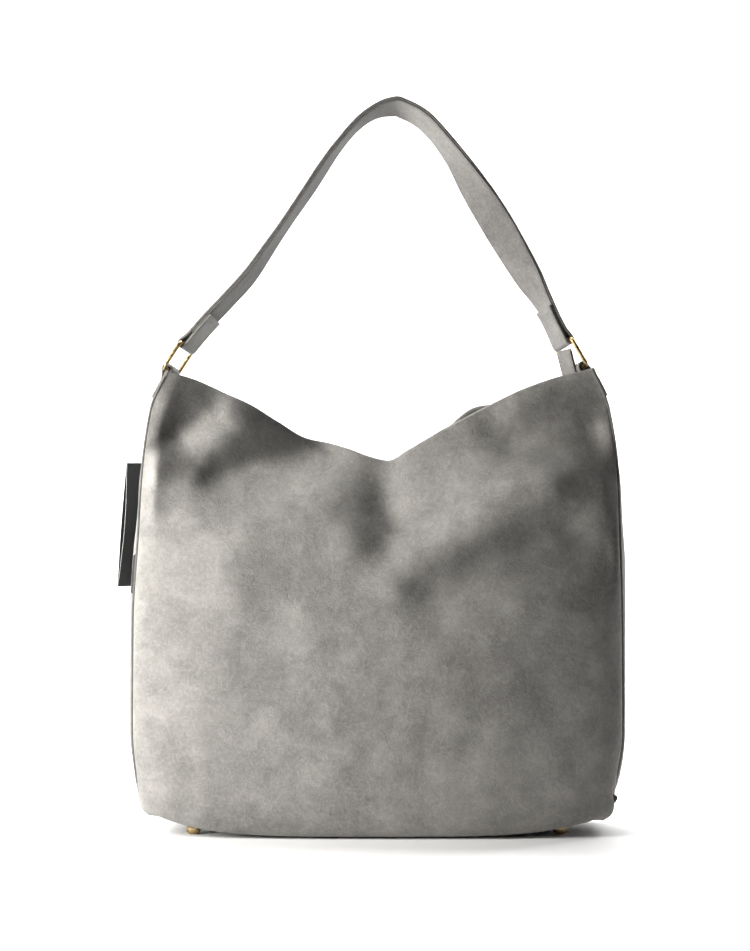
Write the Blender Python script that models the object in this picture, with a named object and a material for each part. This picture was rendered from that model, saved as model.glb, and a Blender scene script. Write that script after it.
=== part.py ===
"""Slouchy hobo bag: two soft panels, gussets and a base strip, one shoulder strap on two brass rings.

Metres, +Z up. The origin is on the ground under the middle of the bag, +X is the wearer's right
when the front panel is seen, and the front faces -Y.
"""

import math

import bmesh
import bpy
from mathutils import Matrix, Vector

MM = 0.001

# Outline of the front seen square on, in mm: (x, z) down each side seam and along the top edge.
LEFT_SEAM = [(-175, 17), (-182, 36), (-185, 80), (-184.5, 164), (-181, 225), (-178.5, 275), (-172, 325), (-160, 353)]
RIGHT_SEAM = [(176, 17), (181, 36), (186.5, 80), (186, 164), (184.7, 225), (183.5, 275), (177, 325), (165, 355)]
TOP_EDGE = [(-160, 353), (-123, 338.5), (-78, 315), (-52, 300), (-20, 293), (9, 285), (53, 309.5), (112, 339), (165, 355)]
BASE_SAG = 2.5  # height of the outer base at the middle
FOOT_LIFT = 5.0  # how much higher the base is over the feet
FOOT_X, FOOT_Y = 140, 25
FOOT_RADIUS = 6.5

# Half-depth of the side seams, and how far each panel swells beyond them, from base to mouth.
SEAM_DEPTH = [(0, 37), (0.3, 38), (0.5, 37), (0.7, 32), (0.85, 26), (1, 22)]
PANEL_SWELL = [(0, 28), (0.3, 29), (0.45, 28), (0.6, 22), (0.75, 13), (0.88, 5), (1, -4)]
ROLL_END = 0.14  # the panel has rolled out from the base seam by this fraction of its height
SIDE_ROUND, ROLL_ROUND = 2.4, 2.2  # superellipse powers
GUSSET_BULGE = [(0, 0), (0.1, 6), (0.5, 6.5), (0.8, 4), (1, 1)]
BACK_RISE, BACK_RISE_X, BACK_RISE_WIDTH = 8, 74, 17  # where the back edge stands above the front's
BACK_DROP = 3

LEATHER = (0, 2.0)
LINING = (2.3, 3.1)
FACING = (2.3, 3.6)
BOARD = (2.3, 3.9)
WASHER = (4.6, 5.4)
FLOOR_LINING = 6.4
SEAM_GAP = 0.3
WELT_RADIUS = 1.1

ACROSS = [0.5 - 0.5 * math.cos(math.pi * i / 14) for i in range(15)]
UP = [0, 0.015, 0.045, 0.09, 0.15, 0.24, 0.34, 0.45, 0.56, 0.67, 0.77, 0.84, 0.89, 0.945, 1]
STRIP = [-1, -0.85, -0.55, 0, 0.55, 0.85, 1]
GUSSET_TOP = [1, 0.958, 0.974, 0.976, 0.974, 0.958, 1]  # its top edge dips beside the tab
BASE_TURN_UP = 3  # row of UP where the base strip meets the gusset
FACING_ROW = 12

STRAP_WIDTH = 28
STRAP_OUTER = (0.2, 2.2)
STRAP_FACING = (-1.3, -0.1)
TONGUE_LENGTH = 30
TONGUE_DROP = 2.3
RING_WIDTH = 34
RING_WIRE = 1.5
RING_CORNER = 3.5
FOLD_INNER = RING_WIRE + 0.3
LEFT_RING = ((-160, 354.7), (-144.8, 374), 15)  # lower bar, upper bar, twist in degrees
RIGHT_RING = ((160, 358.5), (147.5, 379.4), 21)
STRAP_PATH = [
    (-144.8, 374), (-129.5, 393.5), (-104.5, 421), (-78.3, 458.1), (-52.7, 495.3), (-32.2, 526.3),
    (-9, 548), (15, 558.5), (35, 549), (57, 526.3), (77.9, 495.3), (100, 458.1), (121, 422), (137, 397),
    (147.5, 379.4),
]
STRAP_TWIST = [(0, 15), (0.1, 17), (0.4, 19), (0.5, 23), (0.57, 27), (0.66, 42), (0.77, 54), (0.85, 50), (0.94, 28), (1, 21)]
STRAP_ROWS = 44

TAB_WIDTH = 20
TAB_THICKNESS = 1.6
SNAP_DEPTH = 9.4  # from the outer skin to the snaps' leather patches
TAG_TILT = math.radians(4.5)
TAG_HOLE = (-183, 49, 276)
TAG_SIZE = (45, 98)
TAG_TURN = math.radians(27)

TAUPE = (0.215, 0.208, 0.193)
COLOURS = {
    "nubuck": (TAUPE, 0.85, 0.0),
    "edge": ((0.09, 0.085, 0.08), 0.6, 0.0),
    "lining": ((0.035, 0.033, 0.03), 0.9, 0.0),
    "brass": ((0.72, 0.53, 0.27), 0.3, 1.0),
    "steel": ((0.6, 0.6, 0.58), 0.35, 1.0),
    "card": ((0.012, 0.012, 0.013), 0.55, 0.0),
    "board": ((0.3, 0.25, 0.18), 0.9, 0.0),
    "string": ((0.02, 0.02, 0.02), 0.8, 0.0),
}


def clear_scene():
    for obj in list(bpy.data.objects):
        bpy.data.objects.remove(obj, do_unlink=True)


def material(name):
    mat = bpy.data.materials.new(name)
    mat.use_nodes = True
    colour, roughness, metallic = COLOURS[name.split(".")[0]]
    shader = mat.node_tree.nodes["Principled BSDF"]
    shader.inputs["Base Color"].default_value = (*colour, 1)
    shader.inputs["Roughness"].default_value = roughness
    shader.inputs["Metallic"].default_value = metallic
    return mat


def smooth(points, x):
    """Value at x of a smooth curve through points (x, value), with no overshoot between them."""
    if x <= points[0][0]:
        return points[0][1]
    if x >= points[-1][0]:
        return points[-1][1]
    i = max(k for k in range(len(points) - 1) if points[k][0] <= x)

    def slope(k):
        if k == 0 or k == len(points) - 1:
            a, b = (points[0], points[1]) if k == 0 else (points[-2], points[-1])
            return (b[1] - a[1]) / (b[0] - a[0])
        before = (points[k][1] - points[k - 1][1]) / (points[k][0] - points[k - 1][0])
        after = (points[k + 1][1] - points[k][1]) / (points[k + 1][0] - points[k][0])
        return 0.0 if before * after <= 0 else 2 * before * after / (before + after)

    (x0, y0), (x1, y1) = points[i], points[i + 1]
    width = x1 - x0
    u = (x - x0) / width
    start, end = slope(i) * width, slope(i + 1) * width
    return (
        y0 * (1 + 2 * u) * (1 - u) ** 2
        + start * u * (1 - u) ** 2
        + y1 * u * u * (3 - 2 * u)
        + end * u * u * (u - 1)
    )


def seam_xz(seam, t):
    z = seam[0][1] + (seam[-1][1] - seam[0][1]) * t
    return smooth([(b, a) for a, b in seam], z), z


def base_z(x):
    return BASE_SAG + FOOT_LIFT * (x / FOOT_X) ** 4


def top_z(x, side):
    z = smooth(TOP_EDGE, x)
    if side > 0:
        inside = 1 - (2 * x / (TOP_EDGE[-1][0] - TOP_EDGE[0][0])) ** 6
        z += (BACK_RISE * math.exp(-(((x - BACK_RISE_X) / BACK_RISE_WIDTH) ** 2)) - BACK_DROP) * max(inside, 0)
    return z


def panel_point(side, a, t):
    """Outer surface of the front (side -1) or back (+1) panel, a across and t up, both 0 to 1."""
    left, right = seam_xz(LEFT_SEAM, t), seam_xz(RIGHT_SEAM, t)
    low_x = LEFT_SEAM[0][0] + (RIGHT_SEAM[0][0] - LEFT_SEAM[0][0]) * a
    high_x = TOP_EDGE[0][0] + (TOP_EDGE[-1][0] - TOP_EDGE[0][0]) * a
    corner_z = (LEFT_SEAM[0][1] * (1 - a) + RIGHT_SEAM[0][1] * a, TOP_EDGE[0][1] * (1 - a) + TOP_EDGE[-1][1] * a)
    low_edge = 1 - (abs(2 * a - 1)) ** 24
    low_z = corner_z[0] + (base_z(low_x) - corner_z[0]) * low_edge
    x = left[0] * (1 - a) + right[0] * a
    z = left[1] * (1 - a) + right[1] * a
    z += (1 - t) * (low_z - corner_z[0]) + t * (top_z(high_x, side) - corner_z[1])
    round_side = (1 - abs(2 * a - 1) ** SIDE_ROUND) ** (1 / SIDE_ROUND)
    round_base = (1 - max(0, 1 - t / ROLL_END) ** ROLL_ROUND) ** (1 / ROLL_ROUND)
    depth = smooth(SEAM_DEPTH, t) + smooth(PANEL_SWELL, t) * round_side * round_base
    return Vector((x, side * depth, z))


def strip_rows():
    """(seam point on the front edge, point on the back edge, outward direction, bulge, u) along the strip."""
    rows = [(seam_xz(LEFT_SEAM, t), t) for t in reversed(UP)]
    rows += [((panel_point(-1, a, 0).x, panel_point(-1, a, 0).z), 0) for a in ACROSS[1:]]
    rows += [(seam_xz(RIGHT_SEAM, t), t) for t in UP[1:]]
    return rows


def strip_grid():
    """Outer surface of the long strip: left gusset, base and right gusset, from one tab to the other."""
    rows = strip_rows()
    sides = len(UP) - 1
    grid = []
    for k, ((x, z), t) in enumerate(rows):
        before, after = rows[max(k - 1, 0)][0], rows[min(k + 1, len(rows) - 1)][0]
        along = Vector((after[0] - before[0], after[1] - before[1])).normalized()
        outward = Vector((along.y, -along.x))
        bulge = smooth(GUSSET_BULGE, t)
        line = []
        for v, top in zip(STRIP, GUSSET_TOP):
            if k <= sides:
                px, pz = seam_xz(LEFT_SEAM, t * top if t > 0.5 else t)
            elif k >= len(rows) - 1 - sides:
                px, pz = seam_xz(RIGHT_SEAM, t * top if t > 0.5 else t)
            else:
                px, pz = x, z
            swell = bulge * (1 - v * v)
            line.append(Vector((px + outward.x * swell, v * smooth(SEAM_DEPTH, t), pz + outward.y * swell)))
        grid.append(line)
    return grid


def grid_normals(grid, inward):
    """Unit normals of a grid of points, pointing to the same side as inward does from each point."""
    rows, cols = len(grid), len(grid[0])
    normals = []
    for i in range(rows):
        line = []
        for j in range(cols):
            along = grid[min(i + 1, rows - 1)][j] - grid[max(i - 1, 0)][j]
            across = grid[i][min(j + 1, cols - 1)] - grid[i][max(j - 1, 0)]
            normal = along.cross(across).normalized()
            line.append(normal if normal.dot(inward(grid[i][j])) > 0 else -normal)
        normals.append(line)
    return normals


def to_middle(point):
    return Vector((-point.x * 0.3, -point.y, 150 - point.z)) if point.z < 60 else Vector((-point.x * 0.3, -point.y, 0))


def build_skins():
    """Grids and inward normals of the front, back and strip, sharing one normal along each seam."""
    skins = {}
    for name, side in (("front", -1), ("back", 1)):
        grid = [[panel_point(side, a, t) for a in ACROSS] for t in UP]
        skins[name] = (grid, grid_normals(grid, lambda p, s=side: Vector((0, -s, 0)) + to_middle(p) * 0.002))
    grid = strip_grid()
    skins["strip"] = (grid, grid_normals(grid, lambda p: Vector((-p.x * 0.4, 0, 150 - p.z))))
    strip_normals = skins["strip"][1]
    last, width = len(UP) - 1, len(ACROSS)
    for name, edge in (("front", 0), ("back", len(STRIP) - 1)):
        normals = skins[name][1]
        pairs = [((j, 0), last - j) for j in range(last + 1)]
        pairs += [((0, i), last + i) for i in range(1, width - 1)]
        pairs += [((j, width - 1), last + width - 1 + j) for j in range(last + 1)]
        for (row, col), k in pairs:
            shared = (normals[row][col] + strip_normals[k][edge]).normalized()
            normals[row][col] = shared
            strip_normals[k][edge] = shared
    return skins


def trimmed(grid, gap):
    """The grid with its border drawn in by gap along the surface."""
    rows, cols = len(grid), len(grid[0])
    out = [list(line) for line in grid]
    for i in range(rows):
        for j, to in ((0, 1), (cols - 1, cols - 2)):
            out[i][j] = out[i][j] + (grid[i][to] - grid[i][j]).normalized() * gap
    for j in range(cols):
        for i, to in ((0, 1), (rows - 1, rows - 2)):
            out[i][j] = out[i][j] + (out[to][j] - out[i][j]).normalized() * gap
    return out


def part_of(grid, rows, cols):
    return [line[cols[0] : cols[1] + 1] for line in grid[rows[0] : rows[1] + 1]]


def finish(name, bm, mat, angle=40):
    bmesh.ops.recalc_face_normals(bm, faces=bm.faces)
    bmesh.ops.scale(bm, vec=(MM, MM, MM), verts=bm.verts)
    mesh = bpy.data.meshes.new(name)
    bm.to_mesh(mesh)
    bm.free()
    mesh.shade_smooth()
    mesh.set_sharp_from_angle(angle=math.radians(angle))
    mesh.materials.append(material(mat + "." + name))
    obj = bpy.data.objects.new(name, mesh)
    bpy.context.scene.collection.objects.link(obj)
    return obj


def shell(name, grid, normals, depths, mat):
    """A closed sheet between two depths under a grid; a depth is a number or one number for each row."""
    bm = bmesh.new()
    rows, cols = len(grid), len(grid[0])
    layers = []
    for depth in depths:
        layer = []
        for i in range(rows):
            d = depth[i] if isinstance(depth, list) else depth
            layer.append([bm.verts.new(grid[i][j] + normals[i][j] * d) for j in range(cols)])
        layers.append(layer)

    def quad(a, b, c, d):
        bm.faces.new((a, b, c))
        bm.faces.new((a, c, d))

    for layer in layers:
        for i in range(rows - 1):
            for j in range(cols - 1):
                quad(layer[i][j], layer[i + 1][j], layer[i + 1][j + 1], layer[i][j + 1])
    top, low = layers
    for i in range(rows - 1):
        for j in (0, cols - 1):
            quad(top[i][j], top[i + 1][j], low[i + 1][j], low[i][j])
    for j in range(cols - 1):
        for i in (0, rows - 1):
            quad(top[i][j], top[i][j + 1], low[i][j + 1], low[i][j])
    return finish(name, bm, mat)


def skin_sheet(name, skin, rows, cols, depths, mat):
    grid, normals = skin
    return shell(name, trimmed(part_of(grid, rows, cols), SEAM_GAP), part_of(normals, rows, cols), depths, mat)


def ribbon(name, rows, half_width, depths, mat):
    """A band swept along rows of (centre, width direction, thickness direction)."""
    grid = [[c - w * half_width, c + w * half_width] for c, w, n in rows]
    normals = [[n, n] for c, w, n in rows]
    return shell(name, grid, normals, depths, mat)


def block(name, centre, size, mat, bevel=0.3, turn=None):
    bm = bmesh.new()
    bmesh.ops.create_cube(bm, size=1)
    bmesh.ops.scale(bm, vec=size, verts=bm.verts)
    bmesh.ops.bevel(bm, geom=bm.edges, offset=bevel, segments=1, affect="EDGES")
    if turn:
        bmesh.ops.transform(bm, matrix=turn, verts=bm.verts)
    bmesh.ops.translate(bm, vec=centre, verts=bm.verts)
    return finish(name, bm, mat)


def turned(name, profile, centre, axis, mat, sides=20):
    """A solid of revolution about axis through centre; profile is (radius, height) from bottom to top."""
    bm = bmesh.new()
    turn = Vector((0, 0, 1)).rotation_difference(Vector(axis)).to_matrix().to_4x4()
    rings = []
    for radius, height in profile:
        if radius == 0:
            rings.append([bm.verts.new((0, 0, height))])
            continue
        angles = [2 * math.pi * k / sides for k in range(sides)]
        rings.append([bm.verts.new((radius * math.cos(a), radius * math.sin(a), height)) for a in angles])
    closed_ring = profile[0] == profile[-1]
    if closed_ring:
        rings[-1] = rings[0]
    for low, high in zip(rings, rings[1:]):
        for k in range(sides):
            n = (k + 1) % sides
            corners = [low[k % len(low)], low[n % len(low)], high[n % len(high)], high[k % len(high)]]
            bm.faces.new(list(dict.fromkeys(corners)))
    if closed_ring:
        loose = [v for v in bm.verts if not v.link_faces]
        bmesh.ops.delete(bm, geom=loose, context="VERTS")
    bmesh.ops.transform(bm, matrix=Matrix.Translation(Vector(centre)) @ turn, verts=bm.verts)
    return finish(name, bm, mat)


def tube(name, points, radius, mat, closed=False, resolution=2):
    """A round wire along points."""
    curve = bpy.data.curves.new(name, "CURVE")
    curve.dimensions = "3D"
    curve.bevel_depth = radius * MM
    curve.bevel_resolution = resolution
    curve.use_fill_caps = not closed
    spline = curve.splines.new("POLY")
    spline.points.add(len(points) - 1)
    for spot, point in zip(spline.points, points):
        spot.co = (*(Vector(point) * MM), 1)
    spline.use_cyclic_u = closed
    spline.use_smooth = True
    curve.materials.append(material(mat + "." + name))
    obj = bpy.data.objects.new(name, curve)
    bpy.context.scene.collection.objects.link(obj)
    return obj


def spline_through(points, steps):
    """Catmull-Rom points through a list of Vectors, steps to each stretch, both ends included."""
    ends = [points[0] * 2 - points[1], *points, points[-1] * 2 - points[-2]]
    out = []
    for a, b, c, d in zip(ends, ends[1:], ends[2:], ends[3:]):
        for k in range(steps):
            u = k / steps
            out.append(
                0.5 * (2 * b + (c - a) * u + (2 * a - 5 * b + 4 * c - d) * u * u + (3 * b - a - 3 * c + d) * u**3)
            )
    return [*out, points[-1].copy()]


def evenly(points, count):
    """count + 1 points at even distances along a polyline."""
    lengths = [0.0]
    for a, b in zip(points, points[1:]):
        lengths.append(lengths[-1] + (b - a).length)
    out = []
    k = 0
    for i in range(count + 1):
        want = lengths[-1] * i / count
        while k < len(points) - 2 and lengths[k + 1] < want:
            k += 1
        u = (want - lengths[k]) / (lengths[k + 1] - lengths[k])
        out.append(points[k].lerp(points[k + 1], min(max(u, 0), 1)))
    return out


def in_plane(direction, out, twist):
    """Width and face directions of a band running along direction, its face turned back by twist."""
    front = Vector((0, -1, 0))
    width = front * math.cos(twist) + out * math.sin(twist)
    face = out * math.cos(twist) - front * math.sin(twist)
    return width, face


def ring_frame(ring, hand):
    """Lower bar, upper bar, upward, width and face directions of a ring; hand is -1 left, +1 right."""
    lower = Vector((ring[0][0], 0, ring[0][1]))
    upper = Vector((ring[1][0], 0, ring[1][1]))
    up = (upper - lower).normalized()
    out = Vector((hand * up.z, 0, -hand * up.x))
    width, face = in_plane(up, out, math.radians(ring[2]))
    return lower, upper, up, width, face


def make_ring(name, ring, hand):
    lower, upper, up, width, _ = ring_frame(ring, hand)
    half_w, half_h = RING_WIDTH / 2, (upper - lower).length / 2
    middle = (lower + upper) / 2
    points = []
    for k, (sx, sy) in enumerate(((1, 1), (-1, 1), (-1, -1), (1, -1))):
        for step in range(5):
            angle = math.radians(90 * k + 22.5 * step)
            across = sx * (half_w - RING_CORNER) + RING_CORNER * math.cos(angle)
            rise = sy * (half_h - RING_CORNER) + RING_CORNER * math.sin(angle)
            points.append(middle + width * across + up * rise)
    return tube(name, points, RING_WIRE, "brass", closed=True)


def strap_frames():
    """Rows (centre, width, face) along the strap from the left ring's upper bar to the right one's."""
    route = [Vector((x, 0, z)) for x, z in STRAP_PATH]
    points = evenly(spline_through(route, 8), STRAP_ROWS)
    frames = []
    for i, point in enumerate(points):
        along = (points[min(i + 1, STRAP_ROWS)] - points[max(i - 1, 0)]).normalized()
        if i == 0:
            along = ring_frame(LEFT_RING, -1)[2]
        if i == STRAP_ROWS:
            along = -ring_frame(RIGHT_RING, 1)[2]
        out = Vector((-along.z, 0, along.x))
        width, face = in_plane(along, out, math.radians(smooth(STRAP_TWIST, i / STRAP_ROWS)))
        frames.append((point, width, face))
    return frames


def fold_rows(ring, hand):
    """Half turn under a ring's upper bar, from the outer side of the strap to its inner side."""
    _, upper, up, width, face = ring_frame(ring, hand)
    rows = []
    for step in range(1, 8):
        angle = math.pi * step / 8
        radial = face * math.cos(angle) - up * math.sin(angle)
        rows.append((upper + radial * FOLD_INNER, width, radial))
    return rows


def make_strap():
    frames = strap_frames()
    outer = []
    spread = 2  # rows over which the layers open round the bar
    for i, (point, width, face) in enumerate(frames):
        near = min(i, STRAP_ROWS - i)
        lift = STRAP_OUTER[0] + (FOLD_INNER - STRAP_OUTER[0]) * max(0, 1 - near / spread)
        outer.append((point + face * lift, width, face))
    row_length = (frames[1][0] - frames[0][0]).length
    tongue_rows = round(TONGUE_LENGTH / row_length)

    def tongue(order):
        rows = []
        for near, i in enumerate(order):
            point, width, face = frames[i]
            drop = TONGUE_DROP + (FOLD_INNER - TONGUE_DROP) * max(0, 1 - near / spread)
            rows.append((point - face * drop, width, -face))
        return rows

    left_tongue = tongue(range(tongue_rows + 1))
    right_tongue = tongue(range(STRAP_ROWS, STRAP_ROWS - tongue_rows - 1, -1))
    left_fold = fold_rows(LEFT_RING, -1)
    right_fold = fold_rows(RIGHT_RING, 1)
    rows = left_tongue[::-1] + left_fold[::-1] + outer + right_fold + right_tongue
    ribbon("strap", rows, STRAP_WIDTH / 2, (0, 2.0), "nubuck")
    inner = [(p + f * STRAP_FACING[0], w, f) for p, w, f in frames[1:-1]]
    ribbon("strap_facing", inner, STRAP_WIDTH / 2, (0, STRAP_FACING[1] - STRAP_FACING[0]), "nubuck")


def make_tab(name, ring, hand, seam):
    """A strip over a ring's lower bar, one leg outside the gusset and one inside it."""
    lower, _, up, width, face = ring_frame(ring, hand)
    side_width = Vector((0, -1, 0))

    def leg(z, depth):
        t = (z - seam[0][1]) / (seam[-1][1] - seam[0][1])
        x, _ = seam_xz(seam, t)
        slope = (seam_xz(seam, t + 0.02)[0] - seam_xz(seam, t - 0.02)[0]) / (0.04 * (seam[-1][1] - seam[0][1]))
        outward = Vector((hand, 0, -hand * slope)).normalized()
        return Vector((x, 0, z)) + outward * (smooth(GUSSET_BULGE, t) - depth), outward

    outside = leg(lower.z - 22, -0.6)
    mid_out = leg(lower.z - 11, -0.6)
    inside = leg(lower.z - 22, 4.6)
    mid_in = leg(lower.z - 11, 4.6)
    rows = [(outside[0], side_width, outside[1]), (mid_out[0], side_width, mid_out[1])]
    for step in range(9):
        angle = math.pi * step / 8
        radial = face * math.cos(angle) + up * math.sin(angle)
        rows.append((lower + radial * FOLD_INNER, width, radial))
    rows += [(mid_in[0], side_width, -mid_in[1]), (inside[0], side_width, -inside[1])]
    ribbon(name, rows, TAB_WIDTH / 2, (0, TAB_THICKNESS), "nubuck")


def make_tether():
    """Narrow doubled strip that stands in the right ring and is sewn inside the mouth."""
    width = Vector((0, -1, 0)) * 0.86 + Vector((0.5, 0, 0.1))
    route = [Vector((152.5, 5, 333)), Vector((151.5, 3, 345)), Vector((148.5, 1, 358)), Vector((145.5, 0, 370))]
    points = spline_through(route, 3)
    rows = [(p, width.normalized(), Vector((-0.86, -0.5, -0.2)).normalized()) for p in points]
    ribbon("ring_tether", rows, 8.5, (0, 2.4), "nubuck")


def make_skin():
    skins = build_skins()
    last, width = len(UP) - 1, len(ACROSS) - 1
    strip_last = 2 * last + width
    full = (0, width)
    across = (0, len(STRIP) - 1)
    left_join, right_join = last - BASE_TURN_UP, last + width + BASE_TURN_UP
    for name in ("front", "back"):
        skin_sheet(name + "_panel", skins[name], (0, last), full, LEATHER, "nubuck")
        skin_sheet("lining_" + name, skins[name], (0, FACING_ROW), full, LINING, "lining")
        skin_sheet("facing_" + name, skins[name], (FACING_ROW, last), full, FACING, "nubuck")
    skin_sheet("gusset_left", skins["strip"], (0, left_join), across, LEATHER, "nubuck")
    skin_sheet("gusset_right", skins["strip"], (right_join, strip_last), across, LEATHER, "nubuck")
    base = skin_sheet("base_panel", skins["strip"], (left_join, right_join), across, LEATHER, "nubuck")
    board = skin_sheet("base_board", skins["strip"], (last + 3, last + width - 3), (1, 5), BOARD, "board")
    rise = []
    for k in range(strip_last + 1):
        from_floor = max(last - k, k - last - width, 0)
        share = max(0, 1 - from_floor / (BASE_TURN_UP + 1))
        rise.append(LINING[0] + (FLOOR_LINING - LINING[0]) * share)
    thick = LINING[1] - LINING[0]
    skin_sheet(
        "lining_strip", skins["strip"], (0, strip_last), across, (rise, [d + thick for d in rise]), "lining"
    )
    make_welts(skins)
    return base, board


def make_welts(skins):
    """Piping that stands just proud of the four side seams."""
    rows = range(2, len(UP) - 1)
    for name in ("front", "back"):
        for hand, col in (("left", 0), ("right", len(ACROSS) - 1)):
            grid, normals = skins[name]
            lift = WELT_RADIUS + SEAM_GAP
            points = [grid[j][col] - normals[j][col] * lift for j in rows]
            tube(f"welt_{name}_{hand}", points, WELT_RADIUS, "edge")


def make_feet(base, board):
    """Four studs on shanks through the base and its board, each held by a washer inside."""
    cutters = bmesh.new()
    for k, (sx, sy) in enumerate(((-1, -1), (1, -1), (1, 1), (-1, 1)), start=1):
        x, y, floor = sx * FOOT_X, sy * FOOT_Y, base_z(FOOT_X)
        top = floor + WASHER[1] + 0.2
        profile = [(0, 0), (3.4, 0), (5.6, 1.2), (FOOT_RADIUS, 3.2), (FOOT_RADIUS, floor - 1.5)]
        profile += [(1.6, floor - 1.5), (1.6, top), (0, top)]
        turned(f"foot_{k}", profile, (x, y, 0), (0, 0, 1), "brass")
        low, high = floor + WASHER[0] + 0.4, floor + WASHER[1] + 0.4
        ring = [(1.95, low), (4.6, low), (4.6, high), (1.95, high), (1.95, low)]
        turned(f"foot_washer_{k}", ring, (x, y, 0), (0, 0, 1), "steel", sides=16)
        placed = Matrix.Translation((x, y, floor + 2))
        bmesh.ops.create_cone(
            cutters, cap_ends=True, segments=12, radius1=2.1, radius2=2.1, depth=14, matrix=placed
        )
    cutter = finish("shank_holes", cutters, "steel")
    cutter.hide_render = True
    cutter.display_type = "WIRE"
    for obj in (base, board):
        cut = obj.modifiers.new("shank_holes", "BOOLEAN")
        cut.object = cutter
        cut.operation = "DIFFERENCE"


def make_snap():
    """Magnetic snap on leather patches, one half on each facing at the middle of the mouth."""
    for name, side, profile in (
        ("snap_socket", -1, [(2.2, 0), (9, 0), (9, 2), (2.2, 2), (2.2, 0)]),
        ("snap_post", 1, [(0, 0), (9, 0), (9, 1.4), (1.6, 1.4), (1.6, 3.4), (0, 3.4)]),
    ):
        at = panel_point(side, 0.5, 0.93)
        across = panel_point(side, 0.55, 0.93) - panel_point(side, 0.45, 0.93)
        upward = panel_point(side, 0.5, 0.97) - panel_point(side, 0.5, 0.89)
        inward = across.cross(upward).normalized()
        if inward.y * side > 0:
            inward = -inward
        patch = at + inward * SNAP_DEPTH
        turned(name + "_patch", [(0, 0), (14, 0), (14, 1), (0, 1)], patch - inward * 1.2, inward, "nubuck", 24)
        turned(name, profile, patch + inward * 0.1, inward, "brass", 24)


def make_pockets():
    """Flat hanging pockets: a zipped one behind, a slip one in front."""
    back_y, front_y = 38, -40
    block("zip_pocket", (0, back_y, 150), (176, 1.2, 112), "lining")
    block("zip_tape", (0, back_y - 1.4, 196), (150, 0.8, 16), "lining", bevel=0.1)
    for name, x in (("zip_stop_closed", -70), ("zip_stop_open", 70)):
        block(name, (x, back_y - 2.9, 196), (2.4, 1.4, 6), "brass")
    block("zip_slider", (-62, back_y - 3.5, 196), (9, 2.6, 7), "brass", bevel=0.5)
    block("zip_pull", (-62, back_y - 5.7, 184), (5, 1.1, 20), "brass", bevel=0.2)
    block("slip_pocket", (0, front_y, 148), (150, 1.2, 105), "lining")


def tag_frame():
    across = Vector((math.cos(TAG_TURN), math.sin(TAG_TURN), 0))
    face = Vector((math.sin(TAG_TURN), -math.cos(TAG_TURN), 0))
    down = Vector((-math.sin(TAG_TILT) * across.x, -math.sin(TAG_TILT) * across.y, -math.cos(TAG_TILT)))
    return across, face, down


def make_tag():
    """Folded card, blank, with its fold on the side nearer the bag, and a hole for the string."""
    across, face, down = tag_frame()
    hole = Vector(TAG_HOLE)
    half = TAG_SIZE[0] / 2
    plan = [(-half, 1.6), (-half / 2, 1.7), (0, 1.5), (half / 2, 1.2), (half - 1, 0.9), (half, 0)]
    plan += [(half - 1, -0.9), (half / 2, -1.2), (0, -1.5), (-half / 2, -1.7), (-half + 2, -1.6)]
    grid, normals = [], []
    for i, (u, w) in enumerate(plan):
        before, after = plan[max(i - 1, 0)], plan[min(i + 1, len(plan) - 1)]
        along = Vector((after[0] - before[0], after[1] - before[1])).normalized()
        normal = across * -along.y + face * along.x
        grid.append([hole + across * u + face * w + down * d for d in (-8, 20, 55, TAG_SIZE[1] - 8)])
        normals.append([normal] * 4)
    card = shell("swing_tag", grid, normals, (0, 0.45), "card")
    bm = bmesh.new()
    bmesh.ops.create_cone(bm, cap_ends=True, segments=12, radius1=2.2, radius2=2.2, depth=14)
    turn = Vector((0, 0, 1)).rotation_difference(face).to_matrix().to_4x4()
    bmesh.ops.transform(bm, matrix=Matrix.Translation(hole) @ turn, verts=bm.verts)
    cutter = finish("tag_hole", bm, "card")
    cutter.hide_render = True
    cutter.display_type = "WIRE"
    cut = card.modifiers.new("tag_hole", "BOOLEAN")
    cut.object = cutter
    cut.operation = "DIFFERENCE"
    make_string(hole, face)


def make_string(hole, face):
    """One loop of string from the left tab down through the tag's hole and back."""
    down_leg = [Vector((-166.5, 14.5, 350)), Vector((-173, 22, 336)), Vector((-178.5, 33, 315)), Vector((-182, 41, 297))]
    turn = [hole + face * u + Vector((0, 0, rise)) for u, rise in ((3.8, 7), (2.8, 0.8), (0, -0.8), (-2.8, 0.8), (-3.8, 7))]
    up_leg = [Vector((-178, 47, 297)), Vector((-174, 38, 315)), Vector((-168.5, 27, 336)), Vector((-162.5, 19, 350))]
    tube("tag_string", spline_through(down_leg + turn + up_leg, 5), 0.6, "string")


def main():
    clear_scene()
    base, board = make_skin()
    make_feet(base, board)
    make_strap()
    make_ring("ring_left", LEFT_RING, -1)
    make_ring("ring_right", RIGHT_RING, 1)
    make_tab("tab_left", LEFT_RING, -1, LEFT_SEAM)
    make_tab("tab_right", RIGHT_RING, 1, RIGHT_SEAM)
    make_tether()
    make_snap()
    make_pockets()
    make_tag()


main()
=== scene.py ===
"""The looks of the hobo bag: slouched nubuck shell, strap, rings, tag and lining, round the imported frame."""

import math

import bpy
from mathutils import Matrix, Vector, noise


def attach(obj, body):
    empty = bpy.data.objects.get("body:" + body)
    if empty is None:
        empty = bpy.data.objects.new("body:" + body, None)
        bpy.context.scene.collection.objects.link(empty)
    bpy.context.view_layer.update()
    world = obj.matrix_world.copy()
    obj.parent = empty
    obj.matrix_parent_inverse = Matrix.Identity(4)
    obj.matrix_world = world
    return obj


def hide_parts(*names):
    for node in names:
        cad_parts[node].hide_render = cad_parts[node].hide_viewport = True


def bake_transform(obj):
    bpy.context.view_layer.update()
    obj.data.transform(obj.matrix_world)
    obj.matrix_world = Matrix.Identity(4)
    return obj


MM = 0.001

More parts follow.
